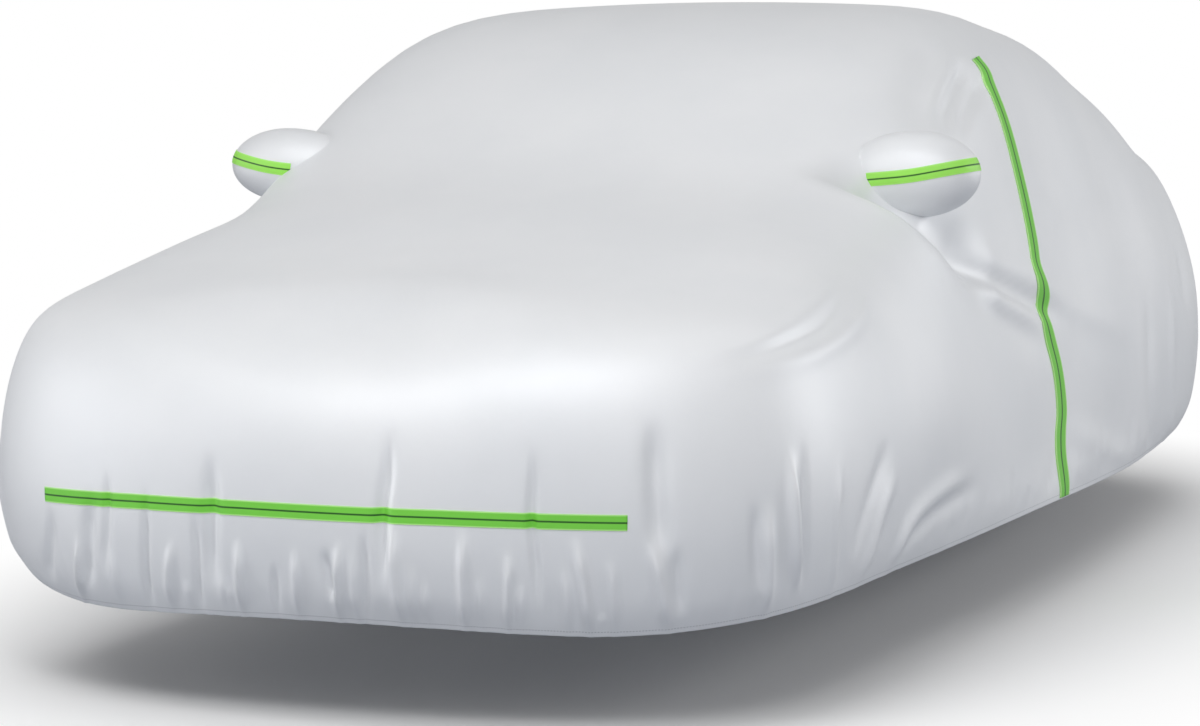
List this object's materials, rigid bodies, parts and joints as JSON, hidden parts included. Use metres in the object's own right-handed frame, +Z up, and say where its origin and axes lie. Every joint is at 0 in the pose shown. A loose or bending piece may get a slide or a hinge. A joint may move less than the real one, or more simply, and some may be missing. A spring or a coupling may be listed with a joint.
{
  "type": "fitted car cover",
  "caption": "Fitted hood-to-tail cover for a saloon car: silver coated cloth with an elastic hem, door mirror pockets and green reflective tapes.",
  "frame": {"origin": "middle of the roof cloth's underside, on the car's centre plane, where a car's roof would hold it", "axes": "+Z up, +Y towards the car's tail, +X towards the car's left side"},
  "size_m": [1.8904, 4.7911, 1.2331],
  "materials": {
    "cloth": "silver coated polyester, satin",
    "tape": "green reflective woven tape with a dark middle line"
  },
  "bodies": {
    "root": {"cover": "cloth", "mirror_pocket_left": "cloth", "mirror_pocket_right": "cloth", "front_tape": "tape", "side_tape": "tape", "mirror_tape_left": "tape", "mirror_tape_right": "tape"}
  },
  "joints": []
}
